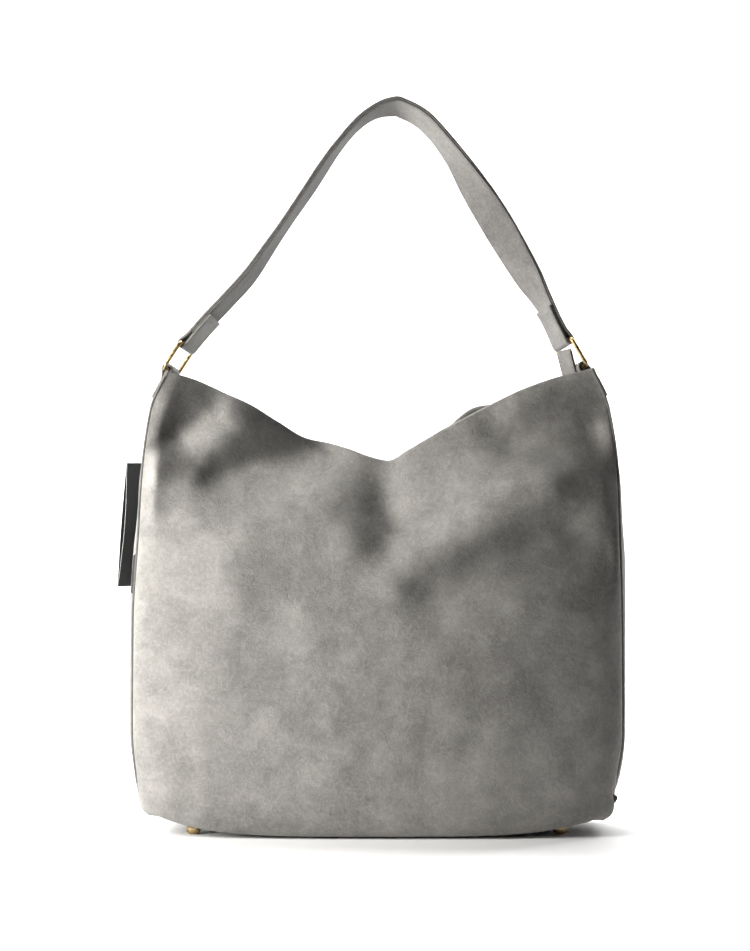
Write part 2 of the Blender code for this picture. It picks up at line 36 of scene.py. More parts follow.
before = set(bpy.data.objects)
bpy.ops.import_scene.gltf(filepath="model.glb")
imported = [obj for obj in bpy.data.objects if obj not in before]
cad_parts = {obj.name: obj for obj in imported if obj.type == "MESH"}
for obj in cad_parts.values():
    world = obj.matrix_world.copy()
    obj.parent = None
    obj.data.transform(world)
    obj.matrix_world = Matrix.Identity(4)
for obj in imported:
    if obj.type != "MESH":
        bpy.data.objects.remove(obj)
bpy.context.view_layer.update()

# Outline of the front seen square on, in mm: (x, z) down each side seam and along the top edge.
LEFT_SEAM = [
    (-173, 16), (-178, 20.5), (-180, 28), (-181.2, 38), (-185, 80), (-184.5, 164), (-181, 225), (-178.5, 275),
    (-172, 325), (-160, 353),
]
RIGHT_SEAM = [
    (172, 12), (178.5, 16.5), (180.3, 23), (179.5, 33), (182, 44), (186.5, 80), (186, 164), (184.7, 225),
    (183.5, 275), (177, 325), (165, 355),
]
TOP_EDGE = [
    (-160, 353), (-140, 346.5), (-123, 339), (-98, 328), (-76, 314), (-55, 301.5), (-36, 297.5), (-20, 293),
    (-5, 287.5), (9, 284.5), (23, 292), (53, 309.5), (84, 325), (112, 339), (141, 349), (165, 355),
]
BASE_SAG, FOOT_LIFT, FOOT_X, FOOT_Y = 1.0, 6.2, 140, 25
# How much of its height the panel lies flat on the base, and how much more the front does toward the right.
PANEL_RISE, ROLL_FLAT, ROLL_FLAT_RIGHT = 338, 0.01, 0.014
SEAM_DEPTH = [(0, 37), (0.3, 38), (0.5, 37), (0.7, 32), (0.85, 26), (1, 22)]
PANEL_SWELL = [(0, 28), (0.3, 29), (0.45, 28), (0.6, 22), (0.75, 13), (0.88, 5), (1, -4)]
ROLL_END, SIDE_ROUND, ROLL_ROUND = 0.14, 2.4, 2.8
GUSSET_BULGE = [(0, 0), (0.1, 6), (0.5, 6.5), (0.8, 4), (1, 1)]
BACK_RISE, BACK_RISE_X, BACK_RISE_WIDTH, BACK_DROP = 8, 74, 17, 3
GUSSET_TOP = [(-1, 0.978), (-0.85, 0.962), (-0.6, 0.974), (0, 0.976), (0.6, 0.974), (0.85, 0.962), (1, 0.978)]
FACING_FROM = 0.9  # fraction of the panel's height
WELT_FROM = 40
LEATHER_THICK, RIM_THICK, CORNER_RIM = 2.0, 3.8, 2.4
LINING = (2.4, 3.2)  # depths below the outer skin
FLOOR_RISE = 4.2  # how much deeper the lining lies over the base board

# Folds of the slack leather, in mm: (points (x, z), height, half-width); height below 0 is a hollow.
FRONT_FOLDS = [
    ([(-157, 352), (-166, 320), (-173, 290), (-176, 250)], 6.0, 9),
    ([(-112, 340), (-124, 320), (-148, 301)], -16.0, 14),
    ([(-168, 280), (-135, 303), (-104, 326)], 8.0, 9),
    ([(-48, 294), (-72, 286), (-94, 280), (-112, 274)], -14.0, 17),
    ([(-66, 246), (-96, 234), (-120, 214)], 4.0, 18),
    ([(4, 290), (6, 254)], -5.5, 11),
    ([(13, 231), (8, 212)], -4.0, 13),
    ([(-42, 262), (-30, 240), (-16, 222)], 5.0, 13),
    ([(14, 200), (46, 215), (84, 241), (132, 264)], 9.0, 13),
    ([(44, 186), (84, 206), (140, 228)], -8.0, 16),
    ([(92, 262), (146, 284)], 8.0, 24),
    ([(92, 309), (106, 299), (132, 297), (160, 305)], -9.0, 12),
    ([(-150, 160), (-120, 110)], 2.0, 30),
    ([(60, 120), (120, 160)], 3.5, 34),
    ([(-60, 60), (20, 70)], 1.5, 26),
]
# Painted shade on the front, strokes darkening the leather where folds turn from the light, in mm: (points (x,
# z), how dark, half-width).
FRONT_SHADE_LINES = [
    ([(-10, 284), (-2, 262), (2, 240), (-12, 220)], 0.12, 9),
    ([(130, 318), (160, 318)], 0.12, 14),
    ([(166, 300), (172, 240)], 0.2, 14),
    ([(50, 196), (92, 214), (140, 226)], 0.3, 16),
    ([(150, 200), (130, 140), (150, 60)], 0.3, 38),
    ([(60, 150), (40, 90)], 0.12, 30),
]
# Painted shade on the front: areas darkened as if in shade, in folds that face the mouth: (outline, darkness,
# soft edge).
FRONT_SHADE_PATCHES = [
    ([(-160, 356), (-128, 346), (-124, 326), (-148, 307), (-168, 293), (-176, 295), (-168, 320)], 0.62, 7),
    ([
        (-118, 348), (-44, 308), (-40, 293), (-64, 286), (-91, 283), (-114, 276), (-130, 263), (-138, 266),
        (-140, 281), (-108, 310),
    ], 0.78, 9),
    ([
        (94, 311), (112, 330), (133, 342), (168, 356), (180, 314), (167, 312), (147, 317), (128, 308),
        (109, 301), (100, 303),
    ], 0.42, 8),
    ([(152, 290), (184, 290), (184, 262), (160, 268)], 0.25, 12),
]
# Painted shade on the back, strokes darkening the leather along its folds, in mm: (points (x, z), how dark,
# half-width).
BACK_SHADE_LINES = [
    ([(120, 320), (142, 296)], 0.35, 12),
    ([(60, 286), (104, 272)], 0.4, 13),
    ([(-4, 262), (10, 214)], 0.3, 10),
    ([(-120, 120), (-140, 60)], 0.2, 34),
]
BACK_FOLDS = [
    ([(150, 330), (160, 280)], 4.0, 12),
    ([(120, 330), (140, 300)], -6.0, 15),
    ([(40, 290), (90, 280), (130, 250)], -6.0, 16),
    ([(-10, 280), (-2, 240), (14, 205)], -5.5, 13),
    ([(-20, 200), (-70, 230), (-120, 262)], 6.0, 17),
    ([(-120, 320), (-150, 300)], -5.5, 15),
    ([(60, 230), (110, 200)], 3.0, 20),
]

STRAP_WIDTH, TONGUE_LENGTH, TONGUE_DROP = 28, 30, 2.3
STRAP_ROWS = 220
RING_WIRE, RING_WIDTH, RING_CORNER = 1.65, 34, 3.5
FOLD_INNER = RING_WIRE + 0.3
TAB_INNER = RING_WIRE + 1.4
LEFT_RING = ((-159.8, 354.8), (-147, 374.2), 15)
RIGHT_RING = ((156.8, 356.2), (144.8, 376.6), 20)
STRAP_PATH = [
    (-147, 374.2), (-132, 391.5), (-117.3, 407), (-98.7, 427.4), (-82.9, 450.1), (-66, 474.9), (-51.1, 496.7),
    (-35.8, 520), (-27.2, 531.6), (-18.1, 542.4), (-7.8, 551.5), (4, 557.6), (16, 559.8), (31, 552.7),
    (42.9, 542.7), (59.6, 521.7), (74.7, 498), (89.4, 474.7), (103.9, 450.4), (117.9, 426.7), (132, 402.5),
    (144.8, 376.6),
]
STRAP_TWIST = [
    (0, 15), (0.13, 16), (0.26, 8), (0.34, 10), (0.43, 5.5), (0.48, 9), (0.53, 21), (0.6, 21), (0.65, 26.5),
    (0.7, 42), (0.74, 52), (0.785, 56.5), (0.83, 51), (0.88, 41), (0.92, 25), (0.96, 18), (1, 20),
]
TAB_WIDTH, TAB_THICKNESS = 20, 1.6
TAG_HOLE, TAG_TURN = (-180.6, 50, 276), math.radians(27)
TAG_TILT = math.radians(4.5)
TAG_ABOVE, TAG_TALL, TAG_WIDE, TAG_BOW = 8, 98, 40, 5.0
STRING_RADIUS = 0.6

# Nubuck: its warm tint, how light its tones are from unrubbed to rubbed, and the tone of its scratches.
WARM = (1.0, 0.968, 0.905)
TONES = [(0.36, 0.15), (0.44, 0.19), (0.52, 0.235), (0.6, 0.285), (0.7, 0.35)]
RUBBED = 0.42
# The most that the painted shade may darken the front and the back.
FRONT_SHADE_MOST, BACK_SHADE_MOST = 0.78, 0.62

CAMERA_AT, CAMERA_LENS = (-0.0012, -1.9, 0.274), 92.8
# The sweep behind, in metres: half its width, and (y, z) from the floor up the wall.
SWEEP_HALF = 0.78
SWEEP = [(-0.62, 0), (0.55, 0), (0.72, 0.02), (0.84, 0.08), (0.92, 0.18), (0.96, 0.32), (0.97, 1.05)]


# ---------------------------------------------------------------- materials


class Nodes:
    """Short hands for building a node tree."""

    def __init__(self, name):
        self.mat = bpy.data.materials.new(name)
        self.mat.use_nodes = True
        self.tree = self.mat.node_tree
        self.shader = self.tree.nodes["Principled BSDF"]
        self.coords = self.tree.nodes.new("ShaderNodeTexCoord").outputs["Object"]

    def link(self, source, target):
        self.tree.links.new(source, target)

    def noise(self, scale, detail=4, rough=0.55, distortion=0.0, at=None):
        node = self.tree.nodes.new("ShaderNodeTexNoise")
        node.inputs["Scale"].default_value = scale
        node.inputs["Detail"].default_value = detail
        node.inputs["Roughness"].default_value = rough
        node.inputs["Distortion"].default_value = distortion
        self.link(at or self.coords, node.inputs["Vector"])
        return node.outputs["Fac"]

    def voronoi(self, scale, at):
        node = self.tree.nodes.new("ShaderNodeTexVoronoi")
        node.inputs["Scale"].default_value = scale
        self.link(at, node.inputs["Vector"])
        return node.outputs["Distance"]

    def wave(self, scale, direction="X", at=None):
        node = self.tree.nodes.new("ShaderNodeTexWave")
        node.bands_direction = direction
        node.inputs["Scale"].default_value = scale
        self.link(at or self.coords, node.inputs["Vector"])
        return node.outputs["Fac"]

    def stretch(self, scale, rotation=(0, 0, 0)):
        node = self.tree.nodes.new("ShaderNodeMapping")
        node.inputs["Scale"].default_value = scale
        node.inputs["Rotation"].default_value = rotation
        self.link(self.coords, node.inputs["Vector"])
        return node.outputs["Vector"]

    def ramp(self, source, stops):
        node = self.tree.nodes.new("ShaderNodeValToRGB")
        ramp = node.color_ramp
        while len(ramp.elements) < len(stops):
            ramp.elements.new(0.5)
        for element, (place, colour) in zip(ramp.elements, stops):
            element.position = place
            element.color = (*colour, 1) if hasattr(colour, "__len__") else (colour, colour, colour, 1)
        self.link(source, node.inputs["Fac"])
        return node.outputs["Color"]

    def maths(self, operation, a, b):
        node = self.tree.nodes.new("ShaderNodeMath")
        node.operation = operation
        for value, socket in zip((a, b), node.inputs):
            if isinstance(value, (int, float)):
                socket.default_value = value
            else:
                self.link(value, socket)
        return node.outputs["Value"]

    def mix(self, kind, factor, a, b):
        node = self.tree.nodes.new("ShaderNodeMix")
        node.data_type = "RGBA"
        node.blend_type = kind
        for value, socket in ((factor, node.inputs["Factor"]), (a, node.inputs[6]), (b, node.inputs[7])):
            if isinstance(value, (int, float)):
                socket.default_value = value
            elif isinstance(value, tuple):
                socket.default_value = (*value, 1)
            else:
                self.link(value, socket)
        return node.outputs[2]

    def bump(self, height, distance, strength=1.0, under=None):
        node = self.tree.nodes.new("ShaderNodeBump")
        node.inputs["Strength"].default_value = strength
        node.inputs["Distance"].default_value = distance
        self.link(height, node.inputs["Height"])
        if under is not None:
            self.link(under, node.inputs["Normal"])
        return node.outputs["Normal"]

    def done(self, colour=None, roughness=None, normal=None, **fixed):
        for name, value in (("Base Color", colour), ("Roughness", roughness), ("Normal", normal)):
            if value is None:
                continue
            if isinstance(value, tuple):
                self.shader.inputs[name].default_value = (*value, 1)
            elif isinstance(value, (int, float)):
                self.shader.inputs[name].default_value = value
            else:
                self.link(value, self.shader.inputs[name])
        for name, value in fixed.items():
            self.shader.inputs[name.replace("_", " ")].default_value = value
        return self.mat


def nubuck(name, light=1.0, shift=(0, 0, 0), depth=1.0):
    """Distressed faux nubuck: clouds of rubbed and unrubbed nap, hair-fine scratches and a pebbled grain,
    darkened by painted shade from the mesh's 'nap' attribute.
    """
    n = Nodes(name)
    moved = n.tree.nodes.new("ShaderNodeMapping")
    moved.inputs["Location"].default_value = shift
    n.link(n.coords, moved.inputs["Vector"])
    at = moved.outputs["Vector"]
    clouds = n.noise(12, 5, 0.55, 0.25, at)
    patches = n.noise(46, 6, 0.62, 0.5, at)
    wisps = n.noise(110, 5, 0.62, 0.8, at)
    fine = n.noise(420, 3, 0.6, 0.0, at)
    mixed = n.maths("ADD", n.maths("MULTIPLY", clouds, 0.42), n.maths("MULTIPLY", patches, 0.4))
    mixed = n.maths("ADD", mixed, n.maths("MULTIPLY", wisps, 0.18))
    rubbed = tuple(light * RUBBED * c for c in WARM)
    colour = n.ramp(mixed, [(place, tuple(light * tone * c for c in WARM)) for place, tone in TONES])
    veins = n.ramp(n.noise(120, 4, 0.6, 1.4, at), [(0.45, 0.0), (0.5, 1.0), (0.55, 0.0)])
    colour = n.mix("MIX", n.maths("MULTIPLY", veins, 0.22), colour, rubbed)
    streaks = n.noise(60, 4, 0.7, 0.6, n.stretch((1.0, 1.0, 5.0), (0.0, 0.6, 0.0)))
    scuffs = n.ramp(streaks, [(0.6, 0.0), (0.74, 0.5)])
    colour = n.mix("MIX", n.maths("MULTIPLY", scuffs, 0.35), colour, rubbed)
    colour = n.mix("MULTIPLY", 0.5, colour, n.ramp(fine, [(0.3, 0.78), (0.7, 1.16)]))
    # Painted shade: the mesh's 'nap' attribute darkens the colour where shade is painted on folds and on the
    # strap.
    shade_paint = n.tree.nodes.new("ShaderNodeAttribute")
    shade_paint.attribute_name = "nap"
    colour = n.mix("MULTIPLY", shade_paint.outputs["Fac"], colour, (0.0, 0.0, 0.0))
    pebbles = n.voronoi(900, at)
    grain = n.bump(pebbles, 0.00022 * depth, 0.55)
    nap = n.bump(n.noise(2600, 3, 0.7), 0.00012 * depth, 0.5, grain)
    creases = n.bump(n.noise(95, 7, 0.68, 1.2, at), 0.0014 * depth, 0.45, nap)
    rough = n.ramp(patches, [(0.35, 0.78), (0.7, 0.92)])
    return n.done(
        colour, rough, creases, Sheen_Weight=0.16, Sheen_Roughness=0.55, Specular_IOR_Level=0.25
    )


def edge_paint(name):
    n = Nodes(name)
    colour = n.ramp(n.noise(300, 3), [(0.35, (0.09, 0.087, 0.08)), (0.65, (0.16, 0.154, 0.142))])
    return n.done(colour, 0.55, n.bump(n.noise(900, 2), 0.0002, 0.4))


def twill(name, dark, light):
    n = Nodes(name)
    ribs = n.wave(420, at=n.stretch((1, 1, 1), (0, math.radians(45), 0)))
    slubs = n.noise(160, 3, 0.6)
    colour = n.mix("MIX", ribs, dark, light)
    colour = n.mix("MULTIPLY", 0.5, colour, n.ramp(slubs, [(0.3, 0.75), (0.7, 1.2)]))
    normal = n.bump(ribs, 0.0002, 0.6, n.bump(n.noise(1500, 2), 0.0001, 0.5))
    return n.done(colour, 0.9, normal, Sheen_Weight=0.3, Sheen_Roughness=0.5)


def brass(name):
    n = Nodes(name)
    shades = [(0.3, (0.32, 0.22, 0.1)), (0.55, (0.46, 0.34, 0.17)), (0.75, (0.58, 0.46, 0.26))]
    hue = n.ramp(n.noise(140, 4, 0.6, 0.4), shades)
    rough = n.ramp(n.noise(380, 4, 0.65), [(0.3, 0.2), (0.7, 0.42)])
    lines = n.noise(700, 3, 0.6, 0.0, n.stretch((1, 6, 1)))
    return n.done(hue, rough, n.bump(lines, 0.00006, 0.5), Metallic=1.0)


def steel(name):
    n = Nodes(name)
    rough = n.ramp(n.noise(500, 4), [(0.3, 0.25), (0.7, 0.45)])
    colour = n.ramp(n.noise(90, 3), [(0.3, 0.42), (0.7, 0.6)])
    return n.done(colour, rough, n.bump(n.noise(900, 2), 0.00005, 0.4), Metallic=1.0)


def card(name, dark, light, rough):
    n = Nodes(name)
    colour = n.ramp(n.noise(800, 4, 0.6), [(0.3, dark), (0.7, light)])
    return n.done(colour, rough, n.bump(n.noise(1400, 3), 0.00008, 0.5))


def thread(name, dark, light):
    n = Nodes(name)
    twist = n.wave(1400, "DIAGONAL")
    colour = n.ramp(twist, [(0.2, dark), (0.8, light)])
    return n.done(colour, 0.75, n.bump(twist, 0.0002, 0.6), Sheen_Weight=0.2)


# ---------------------------------------------------------------- curves and surfaces, in mm


def smooth(points, x):
    """Value at x of a smooth curve through points (x, value), with no overshoot between them."""
    if x <= points[0][0]:
        return points[0][1]
    if x >= points[-1][0]:
        return points[-1][1]
    i = max(k for k in range(len(points) - 1) if points[k][0] <= x)

    def slope(k):
        if k == 0 or k == len(points) - 1:
            a, b = (points[0], points[1]) if k == 0 else (points[-2], points[-1])
            return (b[1] - a[1]) / (b[0] - a[0])
        before = (points[k][1] - points[k - 1][1]) / (points[k][0] - points[k - 1][0])
        after = (points[k + 1][1] - points[k][1]) / (points[k + 1][0] - points[k][0])
        return 0.0 if before * after <= 0 else 2 * before * after / (before + after)

    (x0, y0), (x1, y1) = points[i], points[i + 1]
    width = x1 - x0
    u = (x - x0) / width
    start, end = slope(i) * width, slope(i + 1) * width
    return (
        y0 * (1 + 2 * u) * (1 - u) ** 2 + start * u * (1 - u) ** 2
        + y1 * u * u * (3 - 2 * u) + end * u * u * (u - 1)
    )


def ease(x):
    x = min(max(x, 0.0), 1.0)
    return x * x * (3 - 2 * x)


def seam_xz(seam, t):
    z = seam[0][1] + (seam[-1][1] - seam[0][1]) * t
    return smooth([(b, a) for a, b in seam], z), z


def base_z(x):
    return BASE_SAG + FOOT_LIFT * (x / FOOT_X) ** 4


def top_z(x, side):
    z = smooth(TOP_EDGE, x)
    if side > 0:
        inside = 1 - (2 * x / (TOP_EDGE[-1][0] - TOP_EDGE[0][0])) ** 6
        rise = BACK_RISE * math.exp(-(((x - BACK_RISE_X) / BACK_RISE_WIDTH) ** 2))
        z += (rise - BACK_DROP) * max(inside, 0)
    return z


def fold_height(x, z, folds):
    """Sum of the folds' heights at a point: each is a soft ridge along a polyline, fading at its ends."""
    total = 0.0
    for points, height, width in folds:
        nearest = 1e9
        for (ax, az), (bx, bz) in zip(points, points[1:]):
            dx, dz = bx - ax, bz - az
            u = ((x - ax) * dx + (z - az) * dz) / (dx * dx + dz * dz)
            u = min(max(u, 0.0), 1.0)
            d = (x - ax - u * dx) ** 2 + (z - az - u * dz) ** 2
            nearest = min(nearest, d)
        total += height * math.exp(-nearest / (2 * width * width))
    return total


def inside_by(x, z, outline):
    """Distance from a point to an outline's edge, above zero when the point is inside."""
    nearest, inside = 1e9, False
    for (ax, az), (bx, bz) in zip(outline, outline[1:] + outline[:1]):
        dx, dz = bx - ax, bz - az
        u = min(max(((x - ax) * dx + (z - az) * dz) / (dx * dx + dz * dz), 0.0), 1.0)
        nearest = min(nearest, math.hypot(x - ax - u * dx, z - az - u * dz))
        if (az > z) != (bz > z) and x < ax + (z - az) * dx / dz:
            inside = not inside
    return nearest if inside else -nearest


def painted_fold_shade(x, z, side):
    """How much painted shade darkens the leather at a point, 0 to 1."""
    if side > 0:
        return min(fold_height(x, z, BACK_SHADE_LINES), BACK_SHADE_MOST)
    total = fold_height(x, z, FRONT_SHADE_LINES)
    waver = 3.0 * noise.noise(Vector((x / 13, z / 13, 3.1)))
    for outline, strength, soft in FRONT_SHADE_PATCHES:
        total = max(total, strength * ease(0.5 + (inside_by(x, z, outline) + waver) / (2 * soft)))
    return min(total, FRONT_SHADE_MOST)


def slack(x, z, side):
    """Small lazy waves of soft leather."""
    at = Vector((x / 62, z / 48, side * 7.3))
    return 2.6 * noise.noise(at) + 1.1 * noise.noise(at * 2.7 + Vector((5, 0, 0)))


def panel_point(side, a, t):
    left, right = seam_xz(LEFT_SEAM, t), seam_xz(RIGHT_SEAM, t)
    low_x = LEFT_SEAM[0][0] + (RIGHT_SEAM[0][0] - LEFT_SEAM[0][0]) * a
    high_x = TOP_EDGE[0][0] + (TOP_EDGE[-1][0] - TOP_EDGE[0][0]) * a
    low = LEFT_SEAM[0][1] * (1 - a) + RIGHT_SEAM[0][1] * a
    high = TOP_EDGE[0][1] * (1 - a) + TOP_EDGE[-1][1] * a
    low_edge = 1 - (abs(2 * a - 1)) ** 10
    low_z = low + (base_z(low_x) - low) * low_edge
    x = left[0] * (1 - a) + right[0] * a
    z = left[1] * (1 - a) + right[1] * a + (1 - t) * (low_z - low) + t * (top_z(high_x, side) - high)
    flat = ROLL_FLAT + (ROLL_FLAT_RIGHT * ease((x - 40) / 60) if side < 0 else 0)
    sag = PANEL_RISE * flat * (1 - math.exp(-t / flat)) * math.exp(-((t / 0.12) ** 2))
    z -= sag * ease((1 - abs(2 * a - 1)) / 0.12)
    round_side = (1 - abs(2 * a - 1) ** SIDE_ROUND) ** (1 / SIDE_ROUND)
    round_base = (1 - max(0, 1 - t / ROLL_END) ** ROLL_ROUND) ** (1 / ROLL_ROUND)
    depth = smooth(SEAM_DEPTH, t) + smooth(PANEL_SWELL, t) * round_side * round_base
    free = ease(min(a, 1 - a) / 0.035) * ease(t / 0.16)
    calm = 1 - 0.4 * ease((t - 0.9) / 0.1)
    folds = FRONT_FOLDS if side < 0 else BACK_FOLDS
    depth += free * calm * (fold_height(x, z, folds) + slack(x, z, side))
    return Vector((x, side * depth, z))


def grid_normals(grid, inward):
    rows, cols = len(grid), len(grid[0])
    normals = []
    for i in range(rows):
        line = []
        for j in range(cols):
            along = grid[min(i + 1, rows - 1)][j] - grid[max(i - 1, 0)][j]
            across = grid[i][min(j + 1, cols - 1)] - grid[i][max(j - 1, 0)]
            normal = along.cross(across).normalized()
            line.append(normal if normal.dot(inward(grid[i][j])) > 0 else -normal)
        normals.append(line)
    return normals


def add_mesh(name, points, faces, mats, body, replaced=(), slots=None, smooth_angle=50, which="nubuck"):
    """A piece from points in mm; slots gives each face its material's number."""
    mesh = bpy.data.meshes.new(name)
    mesh.from_pydata([tuple(p * MM) for p in points], [], faces)
    for mat in mats:
        mesh.materials.append(mat)
    if slots:
        mesh.polygons.foreach_set("material_index", slots)
    mesh.validate()
    mesh.shade_smooth()
    mesh.set_sharp_from_angle(angle=math.radians(smooth_angle))
    obj = bpy.data.objects.new(name, mesh)
    bpy.context.scene.collection.objects.link(obj)
    if body:
        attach(obj, body)
    if replaced:
        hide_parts(*replaced)
    return obj


def closed_loft(name, loops, mats, body, replaced=(), **kind):
    """A solid through closed loops of points, with flat ends."""
    count = len(loops[0])
    points = [p for loop in loops for p in loop]
    faces = []
    for i in range(len(loops) - 1):
        for j in range(count):
            n = (j + 1) % count
            faces.append((i * count + j, i * count + n, (i + 1) * count + n, (i + 1) * count + j))
    last = (len(loops) - 1) * count
    ladder = []
    for j in range((count - 1) // 2):
        ladder.append(tuple(dict.fromkeys((j, j + 1, count - 2 - j, count - 1 - j))))
    faces += [rung[::-1] for rung in ladder]
    faces += [tuple(last + j for j in rung) for rung in ladder]
    volume = sum(
        points[f[0]].dot(points[f[k]].cross(points[f[k + 1]])) for f in faces for k in range(1, len(f) - 1)
    )
    if volume < 0:
        faces = [f[::-1] for f in faces]
    return add_mesh(name, points, faces, mats, body, replaced, **kind)


def spaced(count):
    """count + 1 values from 0 to 1, closer together at both ends."""
    return [0.5 - 0.5 * math.cos(math.pi * i / count) for i in range(count + 1)]


def rise_rows(count):
    """Rows from base to mouth, closer together where the panel rolls under."""
    return [(i / count) ** 1.35 for i in range(count + 1)]


# ---------------------------------------------------------------- the shell


def make_panel(side, name, mat, columns, rows):
    """One panel: skin, turned edge over the mouth, and its facing inside, as one folded sheet."""
    across, up = spaced(columns), rise_rows(rows)
    grid = [[panel_point(side, a, t) for a in across] for t in up]
    normals = grid_normals(grid, lambda p: Vector((0, -side, 0.6)))
    facing_rows = [k for k, t in enumerate(up) if t >= FACING_FROM]
    loops = []
    for j, a in enumerate(across):
        rim = (CORNER_RIM + (RIM_THICK - CORNER_RIM) * ease(min(a, 1 - a) / 0.1)) / 2
        line = [grid[k][j] for k in range(rows + 1)]
        top, n = grid[rows][j], normals[rows][j]
        upward = (grid[rows][j] - grid[rows - 2][j]).normalized()
        for step in range(1, 6):
            angle = math.pi * step / 6
            line.append(top + n * (rim - rim * math.cos(angle)) + upward * (rim * math.sin(angle)))
        line += [grid[k][j] + normals[k][j] * 2 * rim for k in reversed(facing_rows)]
        low = facing_rows[0] - 1
        line += [grid[k][j] + normals[k][j] * LEATHER_THICK for k in range(low, -1, -1)]
        loops.append(line)
    stands_for = (f"{name}_panel", f"facing_{name}")
    body = closed_loft(name + "_shell", loops, [mat], "bag", stands_for, smooth_angle=70)
    # Painted shade: darkening of the folds, stored in the 'nap' attribute that the nubuck multiplies its
    # colour by.
    nap = body.data.attributes.new("nap", "FLOAT", "POINT")
    nap.data.foreach_set("value", [painted_fold_shade(v.co.x / MM, v.co.z / MM, side) for v in body.data.vertices])
    lining_rows = [k for k, t in enumerate(up) if t < FACING_FROM + 0.01][::2]
    lining = []
    for j in range(0, columns + 1, 2):
        line = [grid[k][j] + normals[k][j] * LINING[0] for k in lining_rows]
        line += [grid[k][j] + normals[k][j] * LINING[1] for k in reversed(lining_rows)]
        lining.append(line)
    return grid, lining


def strip_lines(count_up, count_base):
    """(seam, t) places along the strip from the left tab round the base to the right tab."""
    up = rise_rows(count_up)
    rows = [("left", t) for t in reversed(up)]
    rows += [("base", a) for a in spaced(count_base)[1:-1]]
    rows += [("right", t) for t in up]
    return rows


def strip_grid(rows, across):
    spots = []
    for kind, u in rows:
        if kind == "base":
            p = panel_point(-1, u, 0)
            spots.append((p.x, p.z))
        else:
            spots.append(seam_xz(LEFT_SEAM if kind == "left" else RIGHT_SEAM, u))
    grid = []
    for k, (kind, u) in enumerate(rows):
        before, after = spots[max(k - 1, 0)], spots[min(k + 1, len(spots) - 1)]
        along = Vector((after[0] - before[0], after[1] - before[1])).normalized()
        outward = Vector((along.y, -along.x))
        t = 0 if kind == "base" else u
        line = []
        for v in across:
            x, z = spots[k]
            if kind != "base" and u > 0.5:
                seam = LEFT_SEAM if kind == "left" else RIGHT_SEAM
                x, z = seam_xz(seam, u * (1 + (smooth(GUSSET_TOP, v) - 1) * ease((u - 0.5) / 0.5)))
            swell = smooth(GUSSET_BULGE, t) * (1 - v * v)
            if kind != "base":
                free = ease((1 - abs(v)) / 0.3) * ease(u / 0.15) * (1 - ease((u - 0.8) / 0.2))
                swell += free * 1.6 * noise.noise(Vector((v * 1.3, z / 42, 3.1 if kind == "left" else 9.4)))
            line.append(Vector((x + outward.x * swell, v * smooth(SEAM_DEPTH, t), z + outward.y * swell)))
        grid.append(line)
    return grid


def sheet_between(grid, normals, low, high):
    """Closed loops of a sheet between two depths; each depth is a number or one for each row."""
    loops = []
    for i, (line, side) in enumerate(zip(grid, normals)):
        a = low[i] if isinstance(low, list) else low
        b = high[i] if isinstance(high, list) else high
        outer = [p + n * a for p, n in zip(line, side)]
        loops.append(outer + [p + n * b for p, n in zip(line[::-1], side[::-1])])
    return loops


def make_strip(mats):
    """Gussets, base strip and the lining inside them."""
    rows = strip_lines(64, 40)
    across = [-0.985 + 1.97 * k / 20 for k in range(21)]
    grid = strip_grid(rows, across)
    normals = grid_normals(grid, lambda p: Vector((-p.x * 0.4, 0, 150 - p.z)))
    turn = [k for k, (kind, u) in enumerate(rows) if kind == "base" or u <= 0.092]
    first, last = turn[0], turn[-1]
    pieces = (
        ("gusset_left", 0, first, 0, LEATHER_THICK),
        ("gusset_right", last, len(rows) - 1, 0, LEATHER_THICK),
        ("base_panel", first, last, -0.4, 1.8),
    )
    for name, start, end, low, high in pieces:
        part = slice(start, end + 1)
        loops = sheet_between(grid[part], normals[part], low, high)
        closed_loft(name + "_skin", loops, [mats["nubuck"]], "bag", (name,), smooth_angle=60)
    rise = []
    for kind, u in rows:
        share = 1.0 if kind == "base" else max(0.0, 1 - u / 0.12)
        rise.append(LINING[0] + FLOOR_RISE * ease(share))
    loops = sheet_between(grid, normals, rise, [r + 0.8 for r in rise])
    closed_loft(
        "lining_gussets", loops, [mats["lining"]], "bag", ("lining_strip",), smooth_angle=60, which="lining",
    )


def round_tube(name, points, radius, mat, body, replaced=(), sides=12, closed=False, which="brass"):
    """A round wire along points, turned so that it doesn't twist."""
    count = len(points)
    side = None
    rings = []
    for i, p in enumerate(points):
        before = points[i - 1] if i or closed else p
        after = points[(i + 1) % count] if i < count - 1 or closed else p
        along = (after - before).normalized()
        if side is None:
            side = along.orthogonal().normalized()
        side = (side - along * side.dot(along)).normalized()
        other = along.cross(side)
        angles = [2 * math.pi * k / sides for k in range(sides)]
        reach = radius[i] if isinstance(radius, list) else radius
        rings.append([p + (side * math.cos(a) + other * math.sin(a)) * reach for a in angles])
    if not closed:
        return closed_loft(name, rings, [mat], body, replaced, which=which, smooth_angle=60)
    flat = [p for ring in rings for p in ring]
    best = min(range(sides), key=lambda s: (rings[0][s] - rings[-1][0]).length)
    faces = []
    for i in range(count):
        for j in range(sides):
            n = (j + 1) % sides
            k = (i + 1) % count
            turn = best if k == 0 else 0
            over = (k * sides + (n + turn) % sides, k * sides + (j + turn) % sides)
            faces.append((i * sides + j, i * sides + n, *over))
    return add_mesh(name, flat, [f[::-1] for f in faces], [mat], body, replaced, which=which, smooth_angle=60)


